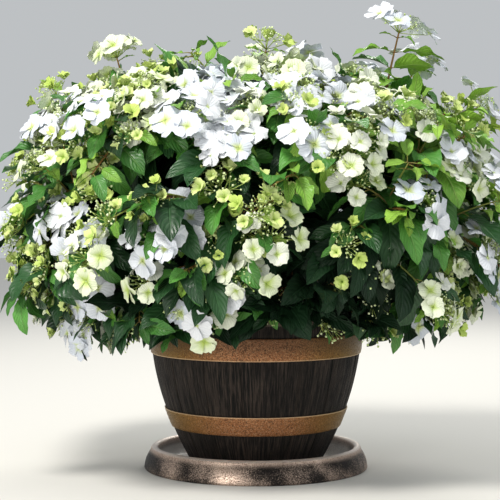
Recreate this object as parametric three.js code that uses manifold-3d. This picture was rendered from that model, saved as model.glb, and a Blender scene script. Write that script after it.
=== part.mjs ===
// A garland hydrangea in flower, grown in a half-barrel planter that stands in its saucer.
// Millimetres, +Z up. The origin is the middle of the saucer's flat underside, and -Y is the front.
// The plant is a short woody stump in the compost, one bough for each mass of foliage, and the masses:
// each is a stem that forks into arching shoots with opposite leaves and flat heads of flowers.
import * as THREE from "three";
import { mergeVertices } from "three/addons/utils/BufferGeometryUtils.js";
import Module from "manifold-3d";

const wasm = await Module();
wasm.setup();

// Driving dimensions of the planter
const GAP = 0.3; // between pieces that touch
const FACETS = 28; // round the planter
const SAUCER = {
  footRadius: 179,
  skirtRadius: 178,
  rimRadius: 162.5,
  rimWidth: 12,
  height: 36,
  floor: 6,
  floorRadius: 138,
};
const POT = {
  bottom: SAUCER.floor + GAP,
  top: 258,
  widestAt: 240,
  baseRadius: 101.5,
  widestRadius: 169,
  wall: 5,
  lipDepth: 19,
  lipProud: 1.6,
};
const HOOPS = {
  hoop_upper: { low: 185, high: 220 },
  hoop_lower: { low: 68, high: 98 },
};
const HOOP_THICKNESS = 2.4;
const STATIONS = [6.3, 36, 68, 98, 141, 185, 220, 240, 258]; // heights where the wall's facets meet
const COMPOST_TOP = 238;

// Driving dimensions of the plant
const HEART = new THREE.Vector3(0, 0, 400); // the middle of the crown, where the masses' spaces meet
const CROWN = { halfWidth: 388, halfDepth: 356, rise: 228, drop: 205, squareness: 3 };
const STUMP = { foot: 28, waist: 18, tip: 16, top: 328, sides: 12 };
const BOUGH = { base: 4.4, tip: 3, sides: 5, steps: 4 };
const STEM = { base: 3.1, tip: 2.2, sides: 3, steps: 2, share: 0.7 };
const SHOOT = { base: 2.3, tip: 1.5, sides: 3, steps: 2 };
const LEAF = { shortest: 94, longest: 128, width: 0.6, thickness: 0.03 };
const LEAF_PLACES = [0.48, 0.84]; // shares of a shoot's length that carry a pair of leaves
const UMBEL = { radius: 24, depth: 11, dome: 5 };
const FLORET = { radius: 35, thickness: 3.4, cup: 0.14, sunk: 8 };
const FLORETS = 2; // showy florets on a head
const SEED = 8157;

// A ring of masses: how many, and how high they lie as seen from the heart; the plan radius and height
// of where their boughs leave the stump, bend and end; and how many shoots end in the ring's band of
// the crown, between two sines of elevation on the unit sphere
const RINGS = [
  {
    name: "crest",
    count: 1,
    elevation: 90,
    turn: 0,
    bough: [[0, 312], [0, 400], [0, 480]],
    shoots: 12,
    band: [1, 0.9],
  },
  {
    name: "shoulder",
    count: 6,
    elevation: 34,
    turn: 22,
    bough: [[0, 280], [58, 392], [150, 474]],
    shoots: 26,
    band: [0.9, 0.47],
  },
  {
    name: "waist",
    count: 7,
    elevation: 0,
    turn: -11,
    bough: [[0, 262], [84, 395], [214, 402]],
    shoots: 30,
    band: [0.47, -0.52],
  },
  {
    name: "skirt",
    count: 7,
    elevation: -38,
    turn: 14,
    bough: [[0, 246], [104, 400], [206, 336]],
    shoots: 23,
    band: [-0.52, -0.86],
  },
];
// Long shoots that stand out of the crown: azimuth, elevation and reach from the heart
const SPRIGS = [
  { azimuth: 78, elevation: 52, reach: 385 },
  { azimuth: 96, elevation: 43, reach: 372 },
  { azimuth: -83, elevation: 49, reach: 352 },
  { azimuth: -80, elevation: 31, reach: 385 },
  { azimuth: -62, elevation: 66, reach: 296 },
  { azimuth: 20, elevation: 80, reach: 285 },
  { azimuth: 82, elevation: 26, reach: 408 },
  { azimuth: 178, elevation: 50, reach: 350 },
  { azimuth: -142, elevation: 42, reach: 385 },
  { azimuth: 140, elevation: 38, reach: 392 },
];

const DEGREE = Math.PI / 180;
const GOLDEN_ANGLE = 137.508;
const UP = new THREE.Vector3(0, 0, 1);

const MATERIALS = {
  pot: { color: 0x2b231c, roughness: 0.72, metalness: 0.0 },
  hoop: { color: 0x9a6232, roughness: 0.42, metalness: 0.55 },
  saucer: { color: 0x8f7460, roughness: 0.35, metalness: 0.6 },
  compost: { color: 0x241910, roughness: 0.95, metalness: 0.0 },
  bark: { color: 0x6b4a2c, roughness: 0.85, metalness: 0.0 },
  foliage: { color: 0x2f6b2a, roughness: 0.5, metalness: 0.0 },
};
for (const [name, looks] of Object.entries(MATERIALS))
  MATERIALS[name] = new THREE.MeshStandardMaterial(looks);

// The same stream of numbers from 0 to 1 for the same seed
function randomStream(seed) {
  let state = seed >>> 0;
  return () => {
    state = (state + 0x6d2b79f5) >>> 0;
    let mixed = Math.imul(state ^ (state >>> 15), state | 1);
    mixed ^= mixed + Math.imul(mixed ^ (mixed >>> 7), mixed | 61);
    return ((mixed ^ (mixed >>> 14)) >>> 0) / 4294967296;
  };
}

// The unit vector at an azimuth, 0 at the front and 90 at the right, and an elevation, in degrees
function towards(azimuth, elevation) {
  const [a, e] = [azimuth * DEGREE, elevation * DEGREE];
  return new THREE.Vector3(Math.sin(a) * Math.cos(e), -Math.cos(a) * Math.cos(e), Math.sin(e));
}

// Solids
function solidOf(geometry) {
  const bare = geometry.clone();
  for (const name of ["normal", "uv"]) bare.deleteAttribute(name);
  const merged = mergeVertices(bare, 1e-3);
  const vertProperties = new Float32Array(merged.attributes.position.array);
  const triVerts = new Uint32Array(merged.index.array);
  return new wasm.Manifold(new wasm.Mesh({ numProp: 3, vertProperties, triVerts }));
}

function geometryOf(solid) {
  const mesh = solid.getMesh();
  const geometry = new THREE.BufferGeometry();
  geometry.setAttribute("position", new THREE.BufferAttribute(mesh.vertProperties, 3));
  geometry.setIndex(new THREE.BufferAttribute(mesh.triVerts, 1));
  return geometry;
}

// The largest closed body of a solid: loose scraps and sealed hollows are left behind
function mainBody(solid) {
  return solid.decompose().reduce((a, b) => (b.volume() > a.volume() ? b : a));
}

function turned(profile, facets = FACETS) {
  const points = profile.map(([radius, height]) => new THREE.Vector2(radius, height));
  return new THREE.LatheGeometry(points, facets).rotateX(Math.PI / 2);
}

// A closed cylinder that tapers from one radius to the other and is bent along a curve
function bentTaper(curve, base, tip, sides, steps) {
  const geometry = new THREE.CylinderGeometry(tip, base, 1, sides, steps);
  const frames = curve.computeFrenetFrames(steps, false);
  const position = geometry.attributes.position;
  for (let i = 0; i < position.count; i += 1) {
    const station = Math.round((position.getY(i) + 0.5) * steps);
    const point = curve.getPointAt(station / steps);
    point.addScaledVector(frames.normals[station], position.getX(i));
    point.addScaledVector(frames.binormals[station], -position.getZ(i));
    position.setXYZ(i, point.x, point.y, point.z);
  }
  return geometry;
}

// A point of the straight runs that a bent taper of so many steps has along its axis
function axisPoint(curve, share, steps) {
  const run = Math.min(Math.floor(share * steps), steps - 1);
  const [from, to] = [run, run + 1].map((station) => curve.getPointAt(station / steps));
  return from.lerp(to, share * steps - run);
}

// The planter: its wall bulges as a parabola, drawn with straight runs from station to station
function potRadius(height) {
  const bulge = (station) => {
    const below = (POT.widestAt - station) / (POT.widestAt - POT.bottom);
    return POT.widestRadius - (POT.widestRadius - POT.baseRadius) * below * below;
  };
  const above = Math.max(1, STATIONS.findIndex((station) => station >= height));
  const [low, high] = [STATIONS[above - 1], STATIONS[above]];
  return THREE.MathUtils.mapLinear(height, low, high, bulge(low), bulge(high));
}

// Points up the wall from one height to another, moved outwards by an offset
function wallCurve(low, high, offset) {
  const between = STATIONS.filter((station) => station > low && station < high);
  return [low, ...between, high].map((height) => [potRadius(height) + offset, height]);
}

function saucer() {
  const { footRadius, skirtRadius, rimRadius, rimWidth, height, floor, floorRadius } = SAUCER;
  const half = rimWidth / 2;
  const rim = [0, 45, 90, 135, 180].map((angle) => [
    rimRadius + half * Math.cos(angle * DEGREE),
    height - half + half * Math.sin(angle * DEGREE),
  ]);
  return turned([
    [0, 0],
    [skirtRadius - 2, 0],
    [footRadius, 3],
    [skirtRadius - 1.5, 12],
    [skirtRadius - 5.5, 22],
    ...rim,
    [floorRadius + 10, 13],
    [floorRadius, floor],
    [0, floor],
  ]);
}

function pot() {
  const { bottom, top, wall, lipDepth, lipProud } = POT;
  const underLip = top - lipDepth;
  const lipRadius = potRadius(top) + lipProud;
  return turned([
    [0, bottom],
    [potRadius(bottom) - 3, bottom],
    ...wallCurve(bottom + 3, underLip - 1, 0),
    [lipRadius, underLip + 1],
    [lipRadius, top - 2],
    [lipRadius - 2, top],
    [potRadius(top) - wall, top],
    ...wallCurve(bottom + wall, top - 4, -wall).reverse(),
    [0, bottom + wall],
  ]);
}

function hoop({ low, high }) {
  const edge = 1;
  const [foot, head] = wallCurve(low, high, GAP);
  const [lower, upper] = wallCurve(low + edge, high - edge, GAP + HOOP_THICKNESS);
  const bevels = [[lower[0] - edge, low], lower, upper, [upper[0] - edge, high]];
  return turned([foot, ...bevels, head, foot]);
}

function compost() {
  const { bottom, wall } = POT;
  const low = bottom + wall + GAP;
  return turned([[0, low], ...wallCurve(low, COMPOST_TOP, -wall - GAP), [0, COMPOST_TOP]]);
}

// A filled shape a little larger than the planter, which no leaf may enter
function planterRoom() {
  const clear = HOOP_THICKNESS + 3;
  const low = SAUCER.height;
  return turned([[0, low], ...wallCurve(low, POT.top, clear), [0, POT.top]]);
}

// The stump, from its flat cut on the compost through its root flare to the tip that forks
function stump(grown = 0) {
  const { foot, waist, tip, top, sides } = STUMP;
  const low = COMPOST_TOP + GAP;
  const profile = [
    [0, low - grown],
    [foot + grown, low - grown],
    [foot * 0.78 + grown, low + 6],
    [waist + grown, low + 16],
    [waist * 0.94 + grown, (low + top) / 2 + 6],
    [tip + grown, top - 3],
    [tip * 0.75 + grown, top + grown],
    [0, top + grown],
  ];
  return turned(profile, sides);
}

// The masses, each with its direction from the heart and the curve of its bough
function masses() {
  return RINGS.flatMap((ring) =>
    Array.from({ length: ring.count }, (_, i) => {
      const azimuth = ring.turn + (360 / ring.count) * i;
      const outward = towards(azimuth, 0);
      const points = ring.bough.map(([radius, height]) =>
        outward.clone().multiplyScalar(radius).setZ(height),
      );
      return {
        name: ring.count > 1 ? `${ring.name}_${i + 1}` : ring.name,
        direction: towards(azimuth, ring.elevation),
        bough: new THREE.QuadraticBezierCurve3(...points),
      };
    }),
  );
}

// How far the crown reaches from the heart along a unit direction of its squared-off ellipsoid
function crownPoint(unit, share) {
  const { halfWidth, halfDepth, rise, drop, squareness } = CROWN;
  const sum = unit.toArray().reduce((total, x) => total + Math.abs(x) ** squareness, 0);
  const stretch = share / sum ** (1 / squareness);
  const height = unit.z > 0 ? rise : drop;
  return new THREE.Vector3(unit.x * halfWidth, unit.y * halfDepth, unit.z * height)
    .multiplyScalar(stretch)
    .add(HEART);
}

// The tips of all the shoots: the sprigs that stand out of the crown, then a spiral down over it
function shootTips() {
  const sines = RINGS.flatMap(({ shoots, band: [high, low] }) =>
    Array.from({ length: shoots }, (_, i) => high + ((low - high) * (i + 0.5)) / shoots),
  );
  const spread = sines.map((sine, k) => {
    const random = randomStream(SEED + k);
    const unit = towards(k * GOLDEN_ANGLE + 14 * (random() - 0.5), Math.asin(sine) / DEGREE);
    return { seed: SEED + 1000 + k, tip: crownPoint(unit, 0.97 - 0.13 * random()), sprig: false };
  });
  const sprigs = SPRIGS.map(({ azimuth, elevation, reach }, k) => ({
    seed: SEED + 2000 + k,
    tip: towards(azimuth, elevation).multiplyScalar(reach).add(HEART),
    sprig: true,
  }));
  return [...sprigs, ...spread];
}

// A mass's space is the cone of points that lie nearer its direction than any other's
function inSpace(mass, all, points) {
  const margin = 1.2;
  return points.every((point) => {
    const arm = point.clone().sub(HEART);
    return all.every((other) => {
      if (other === mass) return true;
      const away = mass.direction.clone().sub(other.direction);
      return arm.dot(away) > margin * away.length();
    });
  });
}

// The cross product frame of a leaf or floret: y along it, z out of its face
function facing(along, face) {
  const y = along.clone().normalize();
  const x = y.clone().cross(face).normalize();
  const z = x.clone().cross(y);
  return new THREE.Matrix4().makeBasis(x, y, z);
}

// An eight-faced leaf: an octahedron drawn out, folded up along its midrib and drooping at its tip
function leaf(length) {
  const geometry = new THREE.OctahedronGeometry(1);
  const position = geometry.attributes.position;
  const widest = 0.44;
  for (let i = 0; i < position.count; i += 1) {
    const [x, y, z] = [position.getX(i), position.getY(i), position.getZ(i)];
    const along = y > 0.5 ? 1 : y < -0.5 ? 0 : widest;
    const droop = along === 1 ? -0.14 : 0.1 * Math.abs(x);
    position.setXYZ(
      i,
      (x * LEAF.width * length) / 2,
      along * length,
      (z * LEAF.thickness * length) / 2 + droop * length,
    );
  }
  return geometry;
}

// A showy floret of four petals, as a shallow cupped octahedron with a petal's tip at each corner; it
// is rooted by one of them
function floret(size) {
  const geometry = new THREE.OctahedronGeometry(1);
  const position = geometry.attributes.position;
  const radius = FLORET.radius * size;
  for (let i = 0; i < position.count; i += 1) {
    const [x, y, z] = [position.getX(i), position.getY(i), position.getZ(i)];
    const lift = FLORET.cup * radius * (y > -0.5 ? Math.hypot(x, y) - 1 : 0);
    position.setXYZ(i, x * radius, (y + 1) * radius, lift + (z * FLORET.thickness) / 2);
  }
  return geometry;
}

// The flat cluster of small buds in the middle of a head, as a shallow top on a deeper cone
function umbel(size) {
  const geometry = new THREE.SphereGeometry(1, 5, 2);
  const position = geometry.attributes.position;
  for (let i = 0; i < position.count; i += 1) {
    const [x, y, z] = [position.getX(i), position.getY(i), position.getZ(i)];
    const height = y > 0 ? y * UMBEL.dome : y * UMBEL.depth;
    const radius = UMBEL.radius * size;
    position.setXYZ(i, x * radius, -z * radius, (UMBEL.depth + height) * size);
  }
  return geometry;
}

// Everything that one mass may not touch: the planter, the stump and all the boughs, a little grown
function limbRoom(all) {
  const boughs = all.map(({ bough }) =>
    solidOf(bentTaper(bough, BOUGH.base + 1.5, BOUGH.tip + 1.5, BOUGH.sides, BOUGH.steps)),
  );
  return [solidOf(planterRoom()), solidOf(stump(1.5)), ...boughs];
}

function cornersOf(geometry) {
  const { position } = geometry.attributes;
  return Array.from({ length: position.count }, (_, i) =>
    new THREE.Vector3().fromBufferAttribute(position, i),
  );
}

// A mass being grown: pieces are added only where they keep to its space and clear of the limbs
class Mass {
  constructor(mass, all, room) {
    const stem = stemCurve(mass);
    const solid = solidOf(bentTaper(stem, STEM.base, STEM.tip, STEM.sides, STEM.steps));
    Object.assign(this, { mass, all, room, stem, pieces: [solid], stalks: [solid] });
  }

  // Adds a piece that grows from the first of its parents and may touch the others, and returns it,
  // or null if it would hang loose, leave the space, or touch a limb or any other piece
  add(geometry, parents) {
    if (!inSpace(this.mass, this.all, cornersOf(geometry))) return null;
    const solid = solidOf(geometry);
    if (parents.length > 0 && !parents.some((parent) => meet(solid, parent))) return null;
    const others = this.pieces.filter((piece) => !parents.includes(piece));
    if ([...this.room, ...others].some((other) => meet(solid, other))) return null;
    this.pieces.push(solid);
    return solid;
  }

  // The largest of a few sizes that fits
  addLargest(make, sizes, parents) {
    for (const size of sizes) {
      const added = this.add(make(size), parents);
      if (added) return added;
    }
    return null;
  }
}

function meet(a, b) {
  const [p, q] = [a.boundingBox(), b.boundingBox()];
  if ([0, 1, 2].some((i) => p.max[i] < q.min[i] || q.max[i] < p.min[i])) return false;
  return !a.intersect(b).isEmpty();
}

// The stem that runs on from the bough's tip towards the middle of its mass
function stemCurve({ direction, bough }) {
  const heading = bough.getTangentAt(1);
  const start = bough.getPointAt(1).addScaledVector(heading, GAP);
  const end = crownPoint(unitFor(direction), STEM.share);
  const bend = start.clone().addScaledVector(heading, start.distanceTo(end) * 0.45);
  return new THREE.QuadraticBezierCurve3(start, bend, end);
}

// The unit direction of the squashed sphere whose crown point lies along a true direction
function unitFor(direction) {
  const { halfWidth, halfDepth, rise, drop } = CROWN;
  const height = direction.z > 0 ? rise : drop;
  return new THREE.Vector3(
    direction.x / halfWidth,
    direction.y / halfDepth,
    direction.z / height,
  ).normalize();
}

// A shoot's curve: it leaves the stem part of the way up and arches over to its tip
function shootCurve(stem, tip, share, arch) {
  const start = axisPoint(stem, share, STEM.steps);
  const reach = start.distanceTo(tip);
  const bend = start.clone().lerp(tip, 0.5).addScaledVector(UP, arch * reach);
  return new THREE.QuadraticBezierCurve3(start, bend, tip.clone());
}

// A pair of opposite leaves, each pair turned a quarter from the last, that hang more lower down
function addPair(grown, shoot, curve, place, quarter, random) {
  const at = axisPoint(curve, place, SHOOT.steps);
  const heading = curve.getTangentAt(place);
  const outward = at.clone().sub(HEART).normalize();
  const face = outward.clone().multiplyScalar(0.6).addScaledVector(UP, 0.8).normalize();
  const side = heading.clone().cross(face).normalize();
  side.applyAxisAngle(heading, (quarter ? 90 : 0) * DEGREE + 0.7 * (random() - 0.5));
  const hang = outward.z < 0.1 ? 0.62 : 0.22;
  const parents = [shoot];
  for (const sign of [1, -1]) {
    const lean = 0.55 + 0.35 * random();
    const length = LEAF.shortest + (LEAF.longest - LEAF.shortest) * random();
    const along = side.clone().multiplyScalar(sign).addScaledVector(heading, lean);
    along.setZ(along.z * 0.5 - hang * (0.6 + 0.8 * random()));
    const frame = facing(along, face).setPosition(at.clone().addScaledVector(heading, 0.6 * sign));
    const blade = (size) => leaf(length * size).applyMatrix4(frame);
    parents.push(grown.addLargest(blade, [1, 0.8, 0.62], parents));
  }
}

// A flat head at a shoot's tip: the umbel of buds and the showy florets round it
function addHead(grown, shoot, curve, size, random) {
  const at = curve.getPointAt(1);
  const outward = at.clone().sub(HEART).normalize();
  const axis = outward.multiplyScalar(0.75).addScaledVector(UP, 0.6);
  axis.addScaledVector(curve.getTangentAt(1), 0.25).normalize();
  const across = new THREE.Vector3(random() - 0.5, random() - 0.5, random() - 0.5);
  const frame = facing(across.cross(axis), axis).setPosition(at.clone().addScaledVector(axis, -3));
  const buds = grown.add(umbel(size).applyMatrix4(frame), [shoot]);
  if (!buds) return;
  const turn = random() * 360;
  for (let i = 0; i < FLORETS; i += 1) {
    const angle = (turn + (360 / FLORETS) * i + 30 * (random() - 0.5)) * DEGREE;
    const tilt = 0.25 + 0.5 * random();
    const scale = 0.82 + 0.3 * random();
    const spoke = new THREE.Vector3(Math.cos(angle), Math.sin(angle), 0).transformDirection(frame);
    const face = axis.clone().addScaledVector(spoke, tilt).normalize();
    const root = at.clone().addScaledVector(axis, UMBEL.depth * size - 4.3);
    root.addScaledVector(spoke, (UMBEL.radius - FLORET.sunk) * size);
    const petals = facing(spoke, face).setPosition(root);
    grown.addLargest((share) => floret(scale * share).applyMatrix4(petals), [1, 0.75], [buds]);
  }
}

// One shoot with its leaves and its head, if its stalk keeps to the mass's space
function addShoot(grown, { seed, tip, sprig }) {
  const random = randomStream(seed);
  const share = sprig ? 0.75 : 0.3 + 0.6 * random();
  const arch = sprig ? 0.04 : 0.1 + 0.12 * random();
  const flowers = random() < 0.86;
  const size = 0.85 + 0.3 * random();
  for (const part of [1, 0.4, 0]) {
    const curve = shootCurve(grown.stem, tip, share, arch * part);
    const stalk = bentTaper(curve, SHOOT.base, SHOOT.tip, SHOOT.sides, SHOOT.steps);
    const shoot = grown.add(stalk, grown.stalks);
    if (!shoot) continue;
    grown.stalks.push(shoot);
    if (flowers) addHead(grown, shoot, curve, size, random);
    LEAF_PLACES.forEach((place, i) => addPair(grown, shoot, curve, place, i % 2 === 1, random));
    if (!flowers) addPair(grown, shoot, curve, 0.98, false, random);
    return;
  }
}

function foliage(mass, all, room, tips) {
  const grown = new Mass(mass, all, room);

  for (const shoot of tips) {
    const arm = shoot.tip.clone().sub(HEART);
    const nearest = all.reduce((a, b) => (arm.dot(b.direction) > arm.dot(a.direction) ? b : a));
    if (nearest === mass) addShoot(grown, shoot);
  }
  return mainBody(wasm.Manifold.union(grown.pieces));
}

// Assembly
const part = new THREE.Group();

function addNode(name, geometry, material) {
  const mesh = new THREE.Mesh(geometry, material);
  mesh.name = name;
  part.add(mesh);
}

addNode("saucer", saucer(), MATERIALS.saucer);
addNode("pot", pot(), MATERIALS.pot);
for (const [name, heights] of Object.entries(HOOPS)) addNode(name, hoop(heights), MATERIALS.hoop);
addNode("compost", compost(), MATERIALS.compost);
addNode("stump", stump(), MATERIALS.bark);

const allMasses = masses();
const room = limbRoom(allMasses);
const tips = shootTips();
const stumpRoom = solidOf(stump(GAP));
for (const mass of allMasses) {
  const whole = bentTaper(mass.bough, BOUGH.base, BOUGH.tip, BOUGH.sides, BOUGH.steps);
  const cut = mainBody(solidOf(whole).subtract(stumpRoom));
  addNode(`bough_${mass.name}`, geometryOf(cut), MATERIALS.bark);
  addNode(`foliage_${mass.name}`, geometryOf(foliage(mass, allMasses, room, tips)), MATERIALS.foliage);
}

export default part;
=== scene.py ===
"""Looks of a garland hydrangea in flower, in a half-barrel planter that stands in its saucer.

Metres, +Z up, -Y the front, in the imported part's own frame. The planter's pieces are finely turned over
their faceted solids. Each mass of foliage is replaced by shoots, side shoots, leaves and flower heads
that grow on from its limbs by the source's rule, written here again and carried to finer twigs.
"""

import math

import bpy
import numpy as np
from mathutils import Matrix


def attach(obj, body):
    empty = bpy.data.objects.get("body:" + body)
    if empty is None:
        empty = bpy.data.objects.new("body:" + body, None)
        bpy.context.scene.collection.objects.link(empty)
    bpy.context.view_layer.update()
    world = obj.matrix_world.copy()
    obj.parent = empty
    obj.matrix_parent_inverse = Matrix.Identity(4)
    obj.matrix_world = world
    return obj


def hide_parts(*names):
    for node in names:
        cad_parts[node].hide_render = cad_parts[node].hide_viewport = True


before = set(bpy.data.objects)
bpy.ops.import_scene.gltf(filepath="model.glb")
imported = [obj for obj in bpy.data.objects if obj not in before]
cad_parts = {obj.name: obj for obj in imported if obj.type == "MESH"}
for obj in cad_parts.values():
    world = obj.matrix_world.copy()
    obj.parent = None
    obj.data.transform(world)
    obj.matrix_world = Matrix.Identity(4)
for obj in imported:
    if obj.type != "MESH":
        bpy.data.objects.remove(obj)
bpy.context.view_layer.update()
BODY = "root"
MM = 0.001
TURN = 2 * math.pi
UP = np.array([0.0, 0.0, 1.0])

# Dimensions of the planter, in millimetres
POT_BOTTOM, POT_TOP, POT_WIDEST_AT = 6.3, 258.0, 240.0
POT_BASE_RADIUS, POT_WIDEST_RADIUS = 101.5, 169.0
POT_WALL, LIP_DEPTH, LIP_PROUD = 5.0, 19.0, 1.6
LIP_UNDERSIDE = POT_TOP - LIP_DEPTH
HOOP_BANDS = {"hoop_upper": (185.0, 220.0), "hoop_lower": (68.0, 98.0)}
HOOP_GAP, HOOP_THICKNESS = 0.3, 2.4
COMPOST_TOP, COMPOST_UNDERSIDE = 238.0, 180.0
# Where the joints between the staves lie round the wall, in degrees from the front, right positive,
# and the extra columns of points beside each joint
STAVE_JOINTS = [-172, -150, -127, -103, -80, -52, -29, -8, 24, 45, 72, 96, 118, 141, 165]
JOINT_COLUMNS = [-1.1, -0.55, -0.2, 0.2, 0.55, 1.1]
GROOVE_DEPTH, GROOVE_HALF_WIDTH = 1.5, 1.3
STAVE_SWELL, SWELL_HALF_WIDTH = 0.5, 16

# Where the planter's finishes change, in metres: from and to, or middles and a half width
LIP_SPAN = ((LIP_UNDERSIDE - 1.5) * MM, (LIP_UNDERSIDE + 1.5) * MM)
# Over this span in x the hoops' copper turns to olive brass as a painted reflection
SIDE_REFLECTION_SPAN = (0.03, 0.15)  # in x, off the middle
# Painted shade from the crown, darkening the upper hoop towards its top
CROWN_SHADE_SPAN = (0.18, 0.21)
# Painted highlights along the lower hoop's top edge and the upper hoop's bottom edge
HIGHLIGHT_EDGES, HIGHLIGHT_HALF_WIDTH = (0.0975, 0.1856), 0.0014
# The saucer's inside and floor carry a painted reflection, and its rim's crest is painted lighter, partly as
# wear and partly as a highlight
SAUCER_INSIDE_SPAN = (0.161, 0.153)  # in radius
SAUCER_FLOOR_SPAN, SAUCER_CREST_SPAN, SAUCER_SKIRT_SPAN = (0.035, 0.02), (0.0325, 0.0355), (0.035, 0.024)

# Dimensions of the plant, the source's own values in metres
HEART = np.array([0.0, 0.0, 0.4])
CROWN_HALF_WIDTH, CROWN_HALF_DEPTH, CROWN_RISE, CROWN_DROP = 0.388, 0.356, 0.228, 0.205
CROWN_SQUARENESS = 3
GOLDEN_ANGLE = 137.508
SEED = 8157
DRESSING_SEED = 8188  # for all that the source's own stream doesn't draw
STEM_SHARE = 0.7
SHOOT_SHARE, SHOOT_SHORTER = 0.97, 0.13  # how far out shoots end, and by how much less at most
AZIMUTH_JITTER = 14
STEM_GAP, STEM_BEND = 0.0003, 0.45  # off the bough's end, and the share of the way at which it bends
SPRIG_FROM, SPRIG_ARCH = 0.75, 0.04  # where on its stem a long shoot starts, and how far it arches
SPRIG_STREAMS, SHOOT_STREAMS, HOLLOW_STREAM = SEED + 2000, SEED + 1000, SEED + 3000
FLOWERING, SIDE_FLOWERING = 0.86, 0.82  # shares of the shoots that bear a head
LEAF_LENGTHS, PETIOLE_LENGTHS = (0.062, 0.096), (0.006, 0.015)
# name, count, elevation, turn, plan radius and height of the bough's three points, shoots, band
RINGS = [
    ("crest", 1, 90, 0, ((0, 312), (0, 400), (0, 480)), 12, (1.0, 0.9)),
    ("shoulder", 6, 34, 22, ((0, 280), (58, 392), (150, 474)), 26, (0.9, 0.47)),
    ("waist", 7, 0, -11, ((0, 262), (84, 395), (214, 402)), 30, (0.47, -0.52)),
    ("skirt", 7, -38, 14, ((0, 246), (104, 400), (206, 336)), 23, (-0.52, -0.86)),
]
# azimuth, elevation and reach of the long shoots that stand out of the crown, and what each bears
SPRIGS = [
    (78, 52, 0.385, "white"),
    (96, 43, 0.372, "white"),
    (-83, 49, 0.352, "cream"),
    (-80, 31, 0.385, "lime"),
    (-62, 66, 0.296, "leaves"),
    (20, 80, 0.285, "lime"),
    (82, 26, 0.408, "white"),
    (178, 50, 0.350, "cream"),
    (-142, 42, 0.385, "lime"),
    (140, 38, 0.392, "white"),
]
SIDE_SHOOTS = (52, 122, 128, 74)  # finer shoots that end in each ring's band
INNER_SHOOTS = (8, 34, 56, 30)  # short leafy ones that end inside the crown
INNER_DEPTH = 0.24  # how far inside, as a share of the way out
SIDE_TURN, INNER_TURN = 0.9, 2.1  # of their spirals about Z, in radians
OTHER_MASS = 10.0  # added to a distance, it rules out the shoots of other masses
HEM_SIDE, HEM_FRONT = 0.18, 0.226  # how low the foliage hangs
HEM_WAVES = ((0.011, 7, 0.6), (0.008, 17, 2.0))  # height, count round the plant, and start
HEM_RAISED, RAISED_AT, RAISED_WIDTH = 0.034, 23, 12  # in the shaded lower right
TIP_CLEAR = 0.012  # the least height of a shoot's end over the hem
HOLLOW = (21, 17, -21, 16)  # the shaded patch's azimuth and width, elevation and rise, in degrees
RIM_REACH, RIM_CLEAR = 0.184, 0.266  # radius within which it stays above the planter's rim
BACK_SHARE, FRONT_SHARE = 0.91, 0.975
SPRIG_DRAWN_IN = 0.013
# Radii of the limbs and stalks at the root and at the tip
BOUGH_RADII, PETIOLE_RADII = (0.0062, 0.0036), (0.0009, 0.0006)
RAY_RADII, PEDICEL_RADII, FLORET_STALK_RADII = (0.0008, 0.0005), (0.00045, 0.0003), (0.0008, 0.0006)
# For each rank of twig: its radii, the sides and steps of its tube, and where its pairs of leaves
# stand, with the size of each pair
STEM_LEAVES = ((0.15, 1.15), (0.4, 1.2), (0.6, 1.2), (0.8, 1.2), (0.98, 1.2))
SHOOT_LEAVES = ((0.1, 1.0), (0.22, 1.0), (0.36, 1.0), (0.5, 1.05), (0.66, 1.0), (0.8, 0.8), (0.93, 0.36))
SIDE_LEAVES = ((0.42, 1.0), (0.66, 0.86), (0.86, 0.42))
INNER_LEAVES = ((0.35, 1.1), (0.6, 1.2), (0.8, 1.1), (0.98, 0.9))
END_LEAVES = ((0.99, 0.62), (0.95, 0.45))  # at the end of a shoot without a head
RANKS = {
    "stems": ((0.0034, 0.0022), 7, 14, STEM_LEAVES),
    "shoots": ((0.0023, 0.0013), 6, 10, SHOOT_LEAVES),
    "sides": ((0.0016, 0.001), 5, 8, SIDE_LEAVES),
    "inner": ((0.0016, 0.001), 5, 6, INNER_LEAVES),
}
# The stump's flare and head, as radius and height in millimetres
STUMP_PROFILE = [(34, 231), (30, 239), (24, 243), (20, 250), (18, 258), (17, 272)]
STUMP_PROFILE += [(16.4, 290), (17, 306), (18, 318), (16, 327), (11, 331), (4, 332)]


# Vectors and curves
def unit(vectors):
    return vectors / np.maximum(np.linalg.norm(vectors, axis=-1, keepdims=True), 1e-12)


def stacked(*parts):
    """Arrays brought to one shape and joined along a new last axis"""
    return np.stack(np.broadcast_arrays(*parts), -1)


def bell(value, centre, width):
    """1 at the centre, falling away on both sides"""
    return np.exp(-(((value - centre) / width) ** 2))


def towards(azimuth, elevation):
    """Unit vectors at azimuths, 0 at the front and 90 at the right, and elevations, in degrees"""
    a, e = np.radians(azimuth), np.radians(elevation)
    return stacked(np.sin(a) * np.cos(e), -np.cos(a) * np.cos(e), np.sin(e))


def domed(tilt, turn):
    """Unit vectors at angles from +Z and round it, in radians"""
    return stacked(np.sin(tilt) * np.cos(turn), np.sin(tilt) * np.sin(turn), np.cos(tilt))


def stream(seed):
    """The source's stream of numbers from 0 to 1, the same for the same seed"""
    mask = 0xFFFFFFFF
    state = seed & mask

    def draw():
        nonlocal state
        state = (state + 0x6D2B79F5) & mask
        mixed = ((state ^ (state >> 15)) * (state | 1)) & mask
        mixed ^= (mixed + ((mixed ^ (mixed >> 7)) * (mixed | 61))) & mask
        return ((mixed ^ (mixed >> 14)) & mask) / 4294967296

    return draw


def chooser(rng, *shape):
    """Draws even numbers between two bounds, always in one shape"""

    def between(low, high):
        return rng.uniform(low, high, shape)

    return between


def controls(curves, t):
    """A parameter and the three control points of quadratic curves, shaped to be combined"""
    t = np.broadcast_to(t, (len(curves), np.shape(t)[-1]))[..., None]
    return t, *(curves[:, i, None, :] for i in range(3))


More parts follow.
